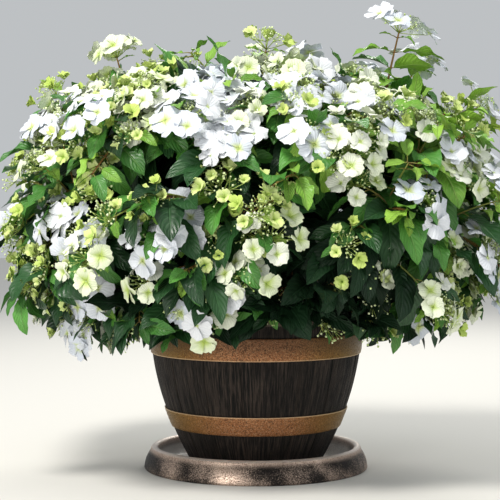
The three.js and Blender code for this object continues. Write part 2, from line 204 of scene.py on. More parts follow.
def bezier(curves, t):
    """Points of quadratic curves: the three control points weighted by (1-t)^2, 2t(1-t) and t^2"""
    t, a, b, c = controls(curves, t)
    return (1 - t) ** 2 * a + 2 * t * (1 - t) * b + t**2 * c


def headings(curves, t):
    """Unit tangents of quadratic curves: the slope is (1-t)(b-a) + t(c-b)"""
    t, a, b, c = controls(curves, t)
    return unit((1 - t) * (b - a) + t * (c - b))


def at_share(curves, share):
    """Point and heading of each curve at its own share of its length, by a table of 64 runs"""
    t = np.linspace(0, 1, 65)
    runs = np.linalg.norm(np.diff(bezier(curves, t), axis=1), axis=-1)
    run = np.pad(np.cumsum(runs, axis=1), ((0, 0), (1, 0)))
    share = np.broadcast_to(share, len(curves))
    at = np.array([np.interp(s * r[-1], r, t) for s, r in zip(share, run)])[:, None]
    return bezier(curves, at)[:, 0], headings(curves, at)[:, 0]


def facing(along, face):
    """Frames (N,3,3) whose columns are x across, y along and z out of the face"""
    y = unit(along)
    x = unit(np.cross(y, face))
    return np.stack([x, y, np.cross(x, y)], axis=-1)


def rolled(vectors, axes, angles):
    """Vectors turned about unit axes: v cos + (axis x v) sin + axis (axis . v)(1 - cos)"""
    c, s = np.cos(angles)[..., None], np.sin(angles)[..., None]
    dot = np.sum(vectors * axes, axis=-1, keepdims=True)
    return vectors * c + np.cross(axes, vectors) * s + axes * dot * (1 - c)


# Meshes
def grid_faces(count, rows, columns, closed=False):
    """Quads of so many grids of rows by columns points; closed joins the last column to the first"""
    i, j = np.indices((rows - 1, columns if closed else columns - 1))
    k = (j + 1) % columns
    quads = stacked(i * columns + j, i * columns + k, (i + 1) * columns + k, (i + 1) * columns + j)
    return (quads.reshape(1, -1, 4) + (np.arange(count) * rows * columns)[:, None, None]).reshape(-1, 4)


class Bundle:
    """Surfaces of one kind, gathered to be joined into one piece"""

    def __init__(self):
        self.points, self.faces, self.uv, self.tint, self.count = [], [], [], [], 0

    def add(self, points, faces, uv, tint):
        """points (...,3) with uv (...,2) and tint (...) that broadcast to them; faces as index rows"""
        shape = points.shape[:-1]
        self.faces += [rows + self.count for rows in faces]
        self.points.append(points.reshape(-1, 3))
        self.uv.append(np.broadcast_to(uv, shape + (2,)).reshape(-1, 2))
        self.tint.append(np.broadcast_to(tint, shape).reshape(-1))
        self.count += len(self.points[-1])
        return self

    def piece(self, name, material, slot, replaced):
        points, uv, tint = (np.concatenate(part) for part in (self.points, self.uv, self.tint))
        loops = np.concatenate([rows.reshape(-1) for rows in self.faces])
        corners = np.concatenate([np.full(len(rows), rows.shape[1]) for rows in self.faces])
        mesh = bpy.data.meshes.new(name)
        mesh.vertices.add(len(points))
        mesh.vertices.foreach_set("co", points.reshape(-1))
        mesh.loops.add(len(loops))
        mesh.loops.foreach_set("vertex_index", loops)
        mesh.polygons.add(len(corners))
        mesh.polygons.foreach_set("loop_start", np.cumsum(corners) - corners)
        mesh.polygons.foreach_set("use_smooth", np.ones(len(corners), dtype=bool))
        mesh.update(calc_edges=True)
        mesh.uv_layers.new(name="UVMap").uv.foreach_set("vector", uv[loops].reshape(-1))
        mesh.attributes.new("tint", "FLOAT", "POINT").data.foreach_set("value", tint)
        mesh.materials.append(material)
        made = bpy.data.objects.new(name, mesh)
        bpy.context.scene.collection.objects.link(made)
        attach(made, BODY)
        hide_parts(*replaced)


def add_tubes(bundle, curves, radii, sides, steps, tint, bulge=None):
    """Rings of a regular polygon carried along quadratic curves, radius falling evenly between the
    two radii, times an optional bulge(share, turn); both ends are capped"""
    count, rows = len(curves), steps + 1
    share, turn = np.linspace(0, 1, rows), np.arange(sides) / sides
    centre, ahead = bezier(curves, share), headings(curves, share)
    chord = unit(curves[:, 2] - curves[:, 0])
    plane = np.cross(curves[:, 1] - curves[:, 0], curves[:, 2] - curves[:, 1])
    spare = np.where(np.abs(chord[:, 2:]) < 0.9, UP, [1.0, 0.0, 0.0])
    flat = np.linalg.norm(plane, axis=-1, keepdims=True) < 1e-7
    across = unit(np.where(flat, np.cross(chord, spare), plane))[:, None, :]
    other = unit(np.cross(ahead, across))
    cosine, sine = np.cos(turn * TURN)[:, None], np.sin(turn * TURN)[:, None]
    ring = cosine * across[:, :, None] + sine * other[:, :, None]
    radius = radii[0] + (radii[1] - radii[0]) * share[:, None, None]
    if bulge is not None:
        radius = radius * bulge(share[:, None], turn)[..., None]
    first = (np.arange(count) * rows * sides)[:, None]
    caps = [first + np.arange(sides)[::-1], first + (rows - 1) * sides + np.arange(sides)]
    faces = [grid_faces(count, rows, sides, closed=True), *caps]
    tint = np.broadcast_to(tint, count)[:, None, None]
    return bundle.add(centre[:, :, None] + ring * radius, faces, stacked(turn, share[:, None]), tint)


def straight(starts, ends):
    return np.stack([starts, (starts + ends) / 2, ends], axis=1)


def add_turned(bundle, profile, columns, relief, joints=(), ring=False):
    """A profile of (radius, height) pairs in millimetres turned about Z, with extra columns at joints.
    relief(radius, height, angle) gives what is added to the radius and to the height. The ends are
    closed by fans on the axis, or joined to each other where the profile is a ring"""
    near = np.radians(joints)[:, None] + np.radians(JOINT_COLUMNS)
    angles = np.concatenate([np.arange(columns) / columns * TURN, near.reshape(-1) % TURN])
    angles = np.unique(np.round(angles, 4))
    radius, height = (np.array(column, dtype=float)[:, None] for column in zip(*profile))
    out, lift = relief(radius, height, angles)
    radius, height = np.broadcast_arrays(radius + out, height + lift, angles)[:2]
    points = stacked(radius * np.sin(angles), -radius * np.cos(angles), height).reshape(-1, 3)
    uv = stacked(angles / TURN, height * MM).reshape(-1, 2)
    rows, count = height.shape
    here = np.arange(count)
    following, last = (here + 1) % count, (rows - 1) * count
    faces = [grid_faces(1, rows, count, closed=True)]
    if ring:
        faces.append(stacked(last + here, last + following, following, here))
    else:
        tips = [[0, 0, height[0, 0]], [0, 0, height[-1, 0]]]
        points, uv = np.concatenate([points, tips]), np.concatenate([uv, np.zeros((2, 2))])
        faces.append(stacked(following, here, rows * count))
        faces.append(stacked(last + here, last + following, rows * count + 1))
    return bundle.add(points * MM, faces, uv, 0.5)


# Shader wiring
def paint(code):
    """A linear colour from six hexadecimal digits of the everyday scale"""
    parts = [int(code[i : i + 2], 16) / 255 for i in (0, 2, 4)]
    return tuple(p / 12.92 if p < 0.04045 else ((p + 0.055) / 1.055) ** 2.4 for p in parts) + (1.0,)


class Board:
    """A node tree being wired. A value may be a socket, which is linked, a colour's code or a number"""

    def __init__(self, tree):
        self.tree = tree

    def place(self, kind, inputs=(), **settings):
        """Adds a node, sets it up, feeds its inputs, and gives its outputs"""
        node = self.tree.nodes.new("ShaderNode" + kind)
        for name, value in settings.items():
            setattr(node, name, value)
        for key, value in dict(inputs).items():
            self.feed(node.inputs[key], value)
        return node.outputs

    def feed(self, socket, value):
        if isinstance(value, bpy.types.NodeSocket):
            self.tree.links.new(value, socket)
        else:
            socket.default_value = paint(value) if isinstance(value, str) else value

    def use(self, tree, **inputs):
        return self.place("Group", inputs, node_tree=tree)

    def math(self, operation, *values):
        return self.place("Math", enumerate(values), operation=operation)[0]

    def times(self, a, b):
        return self.math("MULTIPLY", a, b)

    def less(self, a, b):
        return self.math("SUBTRACT", a, b)

    def scaled(self, value, factor, more):
        """value times factor, and more added"""
        return self.math("MULTIPLY_ADD", value, factor, more)

    def apart(self, a, b):
        """How far two values are from each other"""
        return self.math("ABSOLUTE", self.less(a, b))

    def span(self, value, low, high, to_low=0.0, to_high=1.0):
        """value between low and high, eased to the new range"""
        inputs = {"Value": value, "From Min": low, "From Max": high, "To Min": to_low, "To Max": to_high}
        return self.place("MapRange", inputs, interpolation_type="SMOOTHSTEP")[0]

    def blend(self, share, a, b):
        return self.place("Mix", {0: share, 6: a, 7: b}, data_type="RGBA")[2]

    def coat(self, under, over, mask, strength):
        """A colour laid over another where a mask is, at a strength"""
        return self.blend(self.times(mask, strength), under, over)

    def coordinates(self, kind):
        return self.place("TexCoord")[kind]

    def parts(self, vector):
        return self.place("SeparateXYZ", {0: vector})

    def measures(self, kind):
        """x, y and z on the object, or u and v on its map"""
        return self.parts(self.coordinates(kind))

    def stretched(self, scale):
        return self.place("Mapping", {"Vector": self.coordinates("Object"), "Scale": scale})[0]

    def from_axis(self, operation):
        """The vector from the Z axis to the place, through a vector operation"""
        return self.place("VectorMath", {0: self.stretched((1.0, 1.0, 0.0))}, operation=operation)

    def noise(self, scale, detail=3.0, rough=0.55, at=None):
        """Noise over a vector, or else over the place on the object"""
        vector = self.coordinates("Object") if at is None else at
        inputs = {"Vector": vector, "Scale": scale, "Detail": detail, "Roughness": rough}
        return self.place("TexNoise", inputs)["Fac"]

    def tint(self):
        return self.place("Attribute", attribute_name="tint")["Fac"]


def effect(name, inputs, outputs, wire):
    """A shader node group with named inputs (name, default) and float outputs"""
    tree = bpy.data.node_groups.new(name, "ShaderNodeTree")
    for label, default in inputs.items():
        socket = tree.interface.new_socket(label, in_out="INPUT", socket_type="NodeSocketFloat")
        socket.default_value = default
    for label in outputs:
        tree.interface.new_socket(label, in_out="OUTPUT", socket_type="NodeSocketFloat")
    board, given, out = Board(tree), tree.nodes.new("NodeGroupInput"), tree.nodes.new("NodeGroupOutput")
    for label, value in wire(board, given.outputs).items():
        board.feed(out.inputs[label], value)
    return tree


def surface(colour, rough, height=0.0, depth=0.0, metal=0.0, shine=0.5):
    """The sockets of a finish, and those of its Bump node, which feeds Normal"""
    sockets = {"Base Color": colour, "Roughness": rough, "Metallic": metal, "Specular IOR Level": shine}
    return sockets, {"Height": height, "Distance": depth, "Strength": 1.0}


def finish_of(name, wire):
    """A material with one Principled shader, wired by wire(board)"""
    material = bpy.data.materials.new(name)
    material.use_nodes = True
    board = Board(material.node_tree)
    shader = material.node_tree.nodes["Principled BSDF"]
    sockets, bump = wire(board)
    sockets["Normal"] = board.place("Bump", bump)[0]
    for label, value in sockets.items():
        board.feed(shader.inputs[label], value)
    return material


def wire_grain(board, given):
    """Streaks straight up the bulging wall: noise over the bearing round Z, on a circle as wide as the
    pot, and over the height, which is drawn out; streaks of two widths are mixed"""
    x, y, _ = board.parts(board.from_axis("NORMALIZE")[0])
    height = board.measures("Object")[2]

    def streaks(share, detail):
        wide = board.times(given["Across"], share * POT_WIDEST_RADIUS * MM)
        tall = board.times(given["Along"], share)
        spot = enumerate([board.times(x, wide), board.times(y, wide), board.times(height, tall)])
        return board.noise(1.0, detail, 0.6, board.place("CombineXYZ", spot)[0])

    fine, coarse = streaks(1.0, 4.0), streaks(0.28, 2.0)
    both = board.scaled(fine, 0.62, board.times(coarse, 0.38))
    return {"Streaks": board.span(both, 0.44, 0.6), "Height": both}


def wire_speckle(board, given):
    """Fine spots of two sizes: thresholded noise at the scale and at nearly three times it"""
    spots = board.span(board.noise(given["Scale"], 2.0, 0.7), 0.5, 0.62)
    dust = board.span(board.noise(board.times(given["Scale"], 2.7), 1.0), 0.52, 0.66)
    return {"Spots": board.math("MAXIMUM", spots, board.times(dust, 0.7)), "Height": spots}


def wire_mottling(board, given):
    """Broad patches whose edges break into specks: large noise pushed by fine noise, thresholded"""
    fine = board.less(board.noise(given["Speck"], 2.0, 0.6), 0.5)
    both = board.scaled(fine, given["Break"], board.noise(given["Scale"], 2.0, 0.5))
    low = board.less(given["Level"], given["Edge"])
    return {"Patches": board.span(both, low, board.math("ADD", given["Level"], given["Edge"]))}


def wire_veins(board, given):
    """A midrib along u = 0.5 and pairs of side veins that rise towards the margin and fade at it"""
    u, v, _ = board.measures("UV")
    out = board.times(board.apart(u, 0.5), 2.0)
    phase = board.less(v, board.times(board.math("POWER", out, 1.3), given["Slant"]))
    saw = board.apart(board.math("FRACT", board.times(phase, given["Pairs"])), 0.5)
    side = board.times(board.span(saw, 0.09, 0.0), board.span(out, 1.0, 0.55))
    midrib = board.span(out, 0.09, 0.02)
    quilt = board.less(board.times(saw, board.span(out, 0.0, 0.3)), midrib)
    return {"Veins": board.math("MAXIMUM", side, midrib), "Height": quilt}


GRAIN = effect("vertical grain", {"Across": 420.0, "Along": 14.0}, ["Streaks", "Height"], wire_grain)
SPECKLE = effect("fine speckle", {"Scale": 600.0}, ["Spots", "Height"], wire_speckle)
PATCHES = {"Scale": 12.0, "Level": 0.5, "Edge": 0.08, "Speck": 110.0, "Break": 0.3}
MOTTLING = effect("mottled patches", PATCHES, ["Patches"], wire_mottling)
VEINS = effect("leaf veins", {"Slant": 0.3, "Pairs": 9.0}, ["Veins", "Height"], wire_veins)


# Materials of the planter
def stained_wood(board):
    """Dark brown streaks under blacker patches, and a greyer lip"""
    grain = board.use(GRAIN, Across=950.0, Along=45.0)
    patches = board.use(MOTTLING, Scale=16.0, Level=0.52, Edge=0.14)["Patches"]
    wood = board.blend(grain["Streaks"], "050403", "3b312a")
    wood = board.coat(wood, "0d0906", patches, 0.5)
    wood = board.coat(wood, "6e6155", board.span(board.measures("Object")[2], *LIP_SPAN), 0.55)
    rough = board.span(grain["Height"], 0.3, 0.7, 0.8, 0.6)
    return surface(wood, rough, grain["Height"], 0.003, shine=0.22)


def coppered_hoop(board):
    """Copper in front that turns to the colour of old brass at the sides as a painted reflection, with dark
    and bright specks, painted shade towards the top of the upper hoop, and painted highlights along two
    edges"""
    speckle = board.use(SPECKLE, Scale=380.0)
    x, _, z = board.measures("Object")
    # Painted reflection: copper in the middle, olive brass towards the sides, with fewer dark specks there
    side_reflection = board.span(board.math("ABSOLUTE", x), *SIDE_REFLECTION_SPAN)
    metal = board.blend(side_reflection, "93592f", "6a4e06")
    metal = board.coat(metal, "2f1a0d", speckle["Spots"], board.scaled(side_reflection, -0.45, 0.8))
    bright = board.blend(side_reflection, "e0b184", "a87e22")
    metal = board.coat(metal, bright, board.use(SPECKLE, Scale=560.0)["Spots"], 0.5)
    # Painted shade of the crown towards the top of the upper hoop
    metal = board.coat(metal, "2f1f10", board.span(z, *CROWN_SHADE_SPAN), 0.6)
    # Painted highlights along two edges
    edge_highlights = [board.span(board.apart(z, edge), HIGHLIGHT_HALF_WIDTH, 0.0) for edge in HIGHLIGHT_EDGES]
    metal = board.coat(metal, "f0d0a4", board.math("MAXIMUM", *edge_highlights), 0.55)
    rough = board.scaled(speckle["Spots"], 0.24, 0.36)
    return surface(metal, rough, speckle["Height"], 0.0003, metal=0.55)


def mottled_bronze(board):
    """Worn metal, lightest on the rim's crest, as wear and as a painted highlight, and inside, where a
    painted reflection is laid, under a dark patina that is thickest on the skirt
    """
    patches = board.use(MOTTLING, Scale=13.0, Level=0.44, Edge=0.14, Speck=650.0, Break=0.5)["Patches"]
    speckle = board.use(SPECKLE, Scale=600.0)
    height = board.measures("Object")[2]
    # Painted reflection: the inside and floor are laid near white, with less patina
    within = board.span(board.from_axis("LENGTH")["Value"], *SAUCER_INSIDE_SPAN)
    inside = board.times(within, board.span(height, *SAUCER_FLOOR_SPAN))
    metal = board.blend(speckle["Spots"], "dcc3b0", "93796a")
    metal = board.coat(metal, "fffaf6", inside, 0.95)
    # The crest is painted lighter, partly as wear and partly as a highlight
    metal = board.coat(metal, "f6ebe2", board.span(height, *SAUCER_CREST_SPAN), 0.85)
    thick = board.scaled(board.span(height, *SAUCER_SKIRT_SPAN), 0.86, 0.12)
    dark = board.times(patches, board.scaled(inside, -0.5, thick))
    metal = board.blend(dark, metal, "0b0b0d")
    rough = board.span(board.math("ADD", dark, speckle["Spots"]), 0.0, 1.4, 0.36, 0.55)
    # Less metallic inside, so that the painted reflection reads bright
    metallic = board.span(inside, 0.0, 1.0, 0.72, 0.05)
    return surface(metal, rough, speckle["Height"], 0.0003, metal=metallic)


def damp_compost(board):
    crumbs = board.noise(260.0, 6.0, 0.7)
    soil = board.blend(board.span(crumbs, 0.35, 0.7), "120c07", "4b3523")
    return surface(soil, 0.95, crumbs, 0.004)


def ridged_bark(board):
    """Ridges drawn out along the height, under greenish patches"""
    ridges = board.noise(420.0, 5.0, 0.65, board.stretched((1.0, 1.0, 0.22)))
    patches = board.use(MOTTLING, Scale=60.0, Level=0.5, Edge=0.15)["Patches"]
    bark = board.blend(board.span(ridges, 0.35, 0.68), "3a2716", "8a6c4a")
    return surface(board.coat(bark, "6f6a4c", patches, 0.4), 0.85, ridges, 0.0014)


# Materials of the plant
def green_twig(board):
    """Brown at the root of each twig, green or reddish by its tint further on, finely fibrous"""
    fibres = board.noise(900.0, 2.0)
    young = board.blend(board.tint(), "7f8f3a", "93612f")
    twig = board.blend(board.span(board.measures("UV")[1], 0.1, 0.7), "6b4126", young)
    twig = board.coat(twig, "b9a467", board.span(fibres, 0.5, 0.7), 0.4)
    return surface(twig, 0.6, fibres, 0.0003)


def leaf_finish(deep, bright, vein, rough, shine):
    """A blade between two greens by its tint, clouded, veined and quilted"""

    def wire(board):
        veins = board.use(VEINS, Slant=0.3, Pairs=8.5)
        cloud = board.span(board.noise(45.0), 0.35, 0.7)
        blade = board.coat(board.blend(board.tint(), deep, bright), bright, cloud, 0.3)
        blade = board.coat(blade, vein, veins["Veins"], 0.3)
        roughness = board.span(cloud, 0.0, 1.0, rough, rough + 0.14)
        return surface(blade, roughness, veins["Height"], 0.0011, shine=shine)

    return wire


def petal_finish(heart, face, shade, edge, spread):
    """A petal between two colours by its tint, ribbed as a fan, with the edge colour laid in the fan's
    creases as faint veins and painted shade, and a heart that spreads from its root, further where the tint
    is high"""

    def wire(board):
        u, v, _ = board.measures("UV")
        fan = board.math("ABSOLUTE", board.math("SINE", board.times(u, 26.0)))
        ribs = board.times(board.span(fan, 0.35, 0.0), board.span(v, 1.0, 0.3))
        # The edge colour along the creases between the ribs is painted shade, and faint veins
        petal = board.coat(board.blend(board.tint(), face, shade), edge, ribs, 0.22)
        reach = board.scaled(board.tint(), 0.45, spread)
        petal = board.blend(board.span(v, reach, 0.0), petal, heart)
        return surface(petal, 0.62, board.times(fan, 0.5), 0.0007)

    return wire


def flecked(first, second, fleck, scale, low, strength, rough, depth):
    """A part between two colours by its tint, under flecks where fine noise is over a low bound"""

    def wire(board):
        spots = board.noise(scale, 2.0)
        colour = board.blend(board.tint(), first, second)
        colour = board.coat(colour, fleck, board.span(spots, low, 0.7), strength)
        return surface(colour, rough, spots, depth)

    return wire


bud_finish = flecked("eaf1c8", "aac761", "f7f8e6", 700.0, 0.5, 0.35, 0.55, 0.0003)
stalk_finish = flecked("8ea647", "b4c56e", "6f8436", 600.0, 0.45, 0.4, 0.6, 0.0002)
# Shares of the leaves, from the deepest, at which the next finish begins
LEAF_CUTS = (0.12, 0.4, 0.74)
# Darker and lighter copies of one green: the deeper ones carry painted shade and the lighter ones painted
# light, beside the real paler green of young leaves at the top
LEAF_FINISHES = {
    "leaves_shaded": leaf_finish("0b1c0f", "17321b", "2c4d30", 0.44, 0.2),
    "leaves_deep": leaf_finish("132c19", "264f26", "4d7a4c", 0.34, 0.42),
    "leaves_mid": leaf_finish("2d6023", "508e36", "86ae60", 0.38, 0.5),
    "leaves_light": leaf_finish("588f2e", "90bb43", "b9d17c", 0.42, 0.5),
}
PETAL_FINISHES = {
    "white": petal_finish("c6d66c", "dfe2e6", "cdd5e2", "9caac6", 0.18),
    "cream": petal_finish("b4cc55", "e3e6da", "d9e2bf", "a9b494", 0.3),
    "lime": petal_finish("98b83f", "b5cc5e", "dbe6a0", "8fab4c", 0.5),
}


# The planter
def pot_radius(height):
    """The wall bulges as a parabola: widest less a share that grows with the square of the depth"""
    below = (POT_WIDEST_AT - height) / (POT_WIDEST_AT - POT_BOTTOM)
    return POT_WIDEST_RADIUS - (POT_WIDEST_RADIUS - POT_BASE_RADIUS) * below**2


def arc(centre, radius, start, end, steps):
    """Points of a round in the profile, from one angle to another in degrees"""
    angles = np.radians(np.linspace(start, end, steps))
    return [(centre[0] + radius * math.cos(a), centre[1] + radius * math.sin(a)) for a in angles]


def stave_relief(radius, height, angle):
    """Grooves of a bell-shaped section at the stave joints, each stave swelling a little between
    them, and shallow waves of grain; all of it fades on the lip, in the hoops' beds and inside"""
    joints = np.radians(STAVE_JOINTS)
    gap = radius * np.abs((angle[:, None] - joints + math.pi) % TURN - math.pi).min(axis=-1)
    swell = STAVE_SWELL * (1 - bell(gap, 0, SWELL_HALF_WIDTH))
    groove = swell - GROOVE_DEPTH * bell(gap, 0, GROOVE_HALF_WIDTH)
    grain = 0.22 * np.sin(angle * 97 + 2.2 * np.sin(height / 31)) * np.sin(angle * 41 + height / 57)
    outside = (np.abs(radius - pot_radius(height)) < 0.6) * (height < LIP_UNDERSIDE - 1)
    bed = sum((height > low - 1) & (height < high + 1) for low, high in HOOP_BANDS.values())
    return ((groove + grain) * (1 - bed) - 0.4 * bed) * outside, 0.0


def slow_waves(radius, height, angle):
    """Slow unevenness round the saucer"""
    return 0.25 * np.sin(angle * 5 + 1) * np.sin(angle * 3 + height / 40), 0.0


def hammered(radius, height, angle):
    """Shallow hammer marks on the outside of a hoop"""
    marks = 0.25 * np.sin(angle * 37) * np.sin(angle * 23 + height)
    return marks * (radius > pot_radius(height) + 1), 0.0


def build_pot():
    """Wall, lip with rounded corners, and the inside down to below the compost"""
    lip = pot_radius(POT_TOP) + LIP_PROUD
    heights = np.linspace(POT_BOTTOM + 3, LIP_UNDERSIDE - 0.6, 46)
    profile = [(POT_BASE_RADIUS - 30, POT_BOTTOM), (pot_radius(POT_BOTTOM) - 3, POT_BOTTOM)]
    profile += [(pot_radius(h), h) for h in heights]
    profile += [(lip - 0.9, LIP_UNDERSIDE - 0.2), *arc((lip - 1.2, LIP_UNDERSIDE + 1.2), 1.2, -60, 0, 3)]
    profile += [(lip + 0.25, h) for h in np.linspace(LIP_UNDERSIDE + 4, POT_TOP - 4.5, 5)]
    profile += arc((lip - 3, POT_TOP - 3), 3, 0, 90, 5) + arc((lip - 4.4, POT_TOP - 2), 2, 90, 180, 4)
    profile += [(pot_radius(h) - POT_WALL, h) for h in (250, 244, COMPOST_TOP - 4, 226)]
    profile += [(60, 225)]
    wall = add_turned(Bundle(), profile, 220, stave_relief, STAVE_JOINTS)
    wall.piece("barrel_wall", finish_of("stained wood", stained_wood), "pot_wall", ["pot"])


def build_hoops():
    """Flat bands with rounded edges that follow the wall's slope, standing a little off it"""
    material = finish_of("coppered hoop", coppered_hoop)
    inner, outer = HOOP_GAP - 0.5, HOOP_GAP + HOOP_THICKNESS
    edge = [(inner, 0), (outer - 0.9, 0), (outer - 0.25, 0.35), (outer, 1.1)]
    for name, (low, high) in HOOP_BANDS.items():
        rows = [(off, low + inset) for off, inset in edge]
        rows += [(outer + 0.12, height) for height in np.linspace(low + 2.5, high - 2.5, 9)]
        rows += [(off, high - inset) for off, inset in reversed(edge)]
        profile = [(pot_radius(height) + off, height) for off, height in rows]
        band = add_turned(Bundle(), profile, 220, hammered, ring=True)
        band.piece(f"{name}_band", material, "hoop", [name])


def build_saucer():
    """Flared skirt, rounded rim, sloping inside and floor"""
    profile = [(90, 0), (176, 0), *arc((176.4, 2.6), 2.6, -70, 10, 4)]
    profile += [(178.6, 5), (178.2, 8), (177.4, 12), (176.2, 16), (174.4, 20), (172.2, 24), (170, 27)]
    profile += arc((162.5, 30), 6.2, 5, 175, 11)
    profile += [(155.6, 26), (153.6, 21), (150.6, 15), (147, 10.5), (142.5, 7.4), (138, 6.1)]
    profile += [(132, 6), (70, 6)]
    dish = add_turned(Bundle(), profile, 240, slow_waves)
    dish.piece("saucer_dish", finish_of("mottled bronze", mottled_bronze), "saucer", ["saucer"])


def build_compost():
    """A lumpy top inside the wall over a plain underside: 26 waves are added, each the product of a
    sine round Z and a sine along the radius"""
    rim = pot_radius(COMPOST_TOP) - POT_WALL - 0.9
    profile = [(pot_radius(COMPOST_UNDERSIDE) - POT_WALL - 0.4, COMPOST_UNDERSIDE)]
    profile += [(radius, COMPOST_TOP - 3) for radius in np.linspace(rim, 2, 34)]
    rng = np.random.default_rng(SEED + 5)
    waves = rng.uniform((2, 0, 3, 0, 0.2), (34, TURN, 14, TURN, 0.75), (26, 5))

    def lumps(radius, height, angle):
        turns, start, length, phase, tall = waves.T[:, :, None, None]
        lift = tall * np.sin(angle * np.floor(turns) + start) * np.sin(radius / length + phase)
        lift = np.clip(lift.sum(axis=0), -3.5, 2.5) * np.minimum(1, radius / 25)
        return 0.0, lift * (height > COMPOST_UNDERSIDE)

    fill = add_turned(Bundle(), profile, 120, lumps)
    fill.piece("compost_fill", finish_of("damp compost", damp_compost), "compost", ["compost"])


# Growth
def elevations(direction):
    return np.degrees(np.arcsin(direction[:, 2]))


def half_axes(direction):
    """The crown's half width, half depth, and its rise or drop where a direction points up or down"""
    return stacked(CROWN_HALF_WIDTH, CROWN_HALF_DEPTH, np.where(direction[:, 2] > 0, CROWN_RISE, CROWN_DROP))


def crown_point(direction, share):
    """Where a unit direction of the squared-off ellipsoid comes, at a share of the way out"""
    power = CROWN_SQUARENESS
    stretch = share / np.sum(np.abs(direction) ** power, axis=-1) ** (1 / power)
    return HEART + direction * half_axes(direction) * stretch[:, None]


def grow_limbs():
    """Names, directions (M,3), boughs and stems (M,3,3) of the masses"""
    names, directions, boughs = [], [], []
    for name, count, elevation, turn, points, _, _ in RINGS:
        azimuth = turn + 360 / count * np.arange(count)
        radius, height = np.array(points).T * MM
        boughs.append(towards(azimuth, 0)[:, None] * radius[:, None] + UP * height[:, None])
        directions.append(towards(azimuth, elevation))
        names += [f"{name}_{i + 1}" if count > 1 else name for i in range(count)]
    directions, boughs = np.concatenate(directions), np.concatenate(boughs)
    heading = unit(boughs[:, 2] - boughs[:, 1])
    start = boughs[:, 2] + heading * STEM_GAP
    end = crown_point(unit(directions / half_axes(directions)), STEM_SHARE)
    bend = start + heading * np.linalg.norm(end - start, axis=-1, keepdims=True) * STEM_BEND
    return names, directions, boughs, np.stack([start, bend, end], axis=1)


def spiral(counts):
    """Unit directions down the crown by the golden angle, so many in each ring's band, with the
    source's jitter, and the share of the way out at which each shoot ends"""
    sines = np.concatenate([
        high + (low - high) * (np.arange(count) + 0.5) / count
        for count, (*_, (high, low)) in zip(counts, RINGS)
    ])
    draws = [stream(SEED + k) for k in range(len(sines))]
    jitter = np.array([draw() for draw in draws])
    azimuth = np.arange(len(sines)) * GOLDEN_ANGLE + AZIMUTH_JITTER * (jitter - 0.5)
    directions = towards(azimuth, np.degrees(np.arcsin(sines)))
    return directions, SHOOT_SHARE - SHOOT_SHORTER * np.array([draw() for draw in draws])


def arched(start, tip, arch):
    """Curves from start to tip whose bend is lifted by a share of their reach"""
    reach = np.linalg.norm(tip - start, axis=-1, keepdims=True)
    bend = (start + tip) / 2 + UP * np.reshape(arch, (-1, 1)) * reach
    return np.stack([start, bend, tip], axis=1)


def hem(points):
    """Lowest height of the foliage over a place: it hangs lower at the sides than in front and behind,
    and stays above the planter's rim inside it"""
    x, y = points[..., 0], points[..., 1]
    radius, azimuth = np.hypot(x, y) + 1e-6, np.arctan2(x, -y)
    low = HEM_SIDE + (HEM_FRONT - HEM_SIDE) * (y / radius) ** 2
    low = low + sum(tall * np.sin(azimuth * count + start) for tall, count, start in HEM_WAVES)
    low = low + HEM_RAISED * bell(np.degrees(azimuth), RAISED_AT, RAISED_WIDTH)
    return np.where(radius < RIM_REACH, RIM_CLEAR, low)


def drawn_in(tips):
    """Tips brought in a little at the back and front, where the heads stand proud, and lifted to the hem"""
    tips = tips * np.where(tips[:, 1:2] > 0, [1, BACK_SHARE, 1], [1, FRONT_SHARE, 1])
    tips[:, 2] = np.maximum(tips[:, 2], hem(tips) + TIP_CLEAR)
    return tips


def nearest(tips, directions):
    return np.argmax((tips - HEART) @ directions.T, axis=1)


def grow_shoots(directions, stems):
    """The source's shoots: curves (N,3,3), whether each flowers, its head's size, and its mass"""
    spread = crown_point(*spiral([ring[5] for ring in RINGS]))
    azimuth, elevation, reach = np.array([sprig[:3] for sprig in SPRIGS]).T
    sprigs = HEART + towards(azimuth, elevation) * (reach[:, None] - SPRIG_DRAWN_IN)
    tips = np.concatenate([sprigs, drawn_in(spread)])
    seeds = [SPRIG_STREAMS + k for k in range(len(sprigs))]
    seeds += [SHOOT_STREAMS + k for k in range(len(spread))]
    rows = []
    for k, seed in enumerate(seeds):
        draw = stream(seed)
        sprig = k < len(sprigs)
        share = SPRIG_FROM if sprig else 0.3 + 0.6 * draw()
        arch = SPRIG_ARCH if sprig else 0.1 + 0.12 * draw()
        rows.append([share, arch, draw() < FLOWERING, 0.85 + 0.3 * draw()])
    share, arch, flowers, size = np.array(rows, dtype=float).T
    flowers[: len(SPRIGS)] = [sprig[3] != "leaves" for sprig in SPRIGS]
    mass = nearest(tips, directions)
    start, _ = at_share(stems[mass], share)
    return arched(start, tips, arch), flowers > 0.5, size, mass


def grow_side_shoots(directions, shoots, mass, counts, turn, inwards):
    """Finer shoots: the same spiral drawn denser and turned, each from the nearest shoot of its own
    mass, and ending a share inwards of where the source's shoots do"""
    rng = np.random.default_rng(SEED + 11)
    unit_tips, shares = spiral(counts)
    unit_tips = rolled(unit_tips, np.broadcast_to(UP, unit_tips.shape), np.full(len(unit_tips), turn))
    tips = drawn_in(crown_point(unit_tips, shares + 0.05 - inwards - 0.16 * rng.random(len(shares))))
    own = nearest(tips, directions)
    apart = np.linalg.norm(tips[:, None] - shoots[None, :, 2], axis=-1)
    parent = np.argmin(apart + OTHER_MASS * (own[:, None] != mass[None]), axis=1)
    start, _ = at_share(shoots[parent], 0.25 + 0.45 * rng.random(len(tips)))
    curves = arched(start, tips, 0.06 + 0.14 * rng.random(len(tips)))
    flowering = SIDE_FLOWERING * (1 - dark_hollow(unit(tips - HEART)))
    return curves, rng.random(len(tips)) < flowering, 0.72 + 0.34 * rng.random(len(tips))


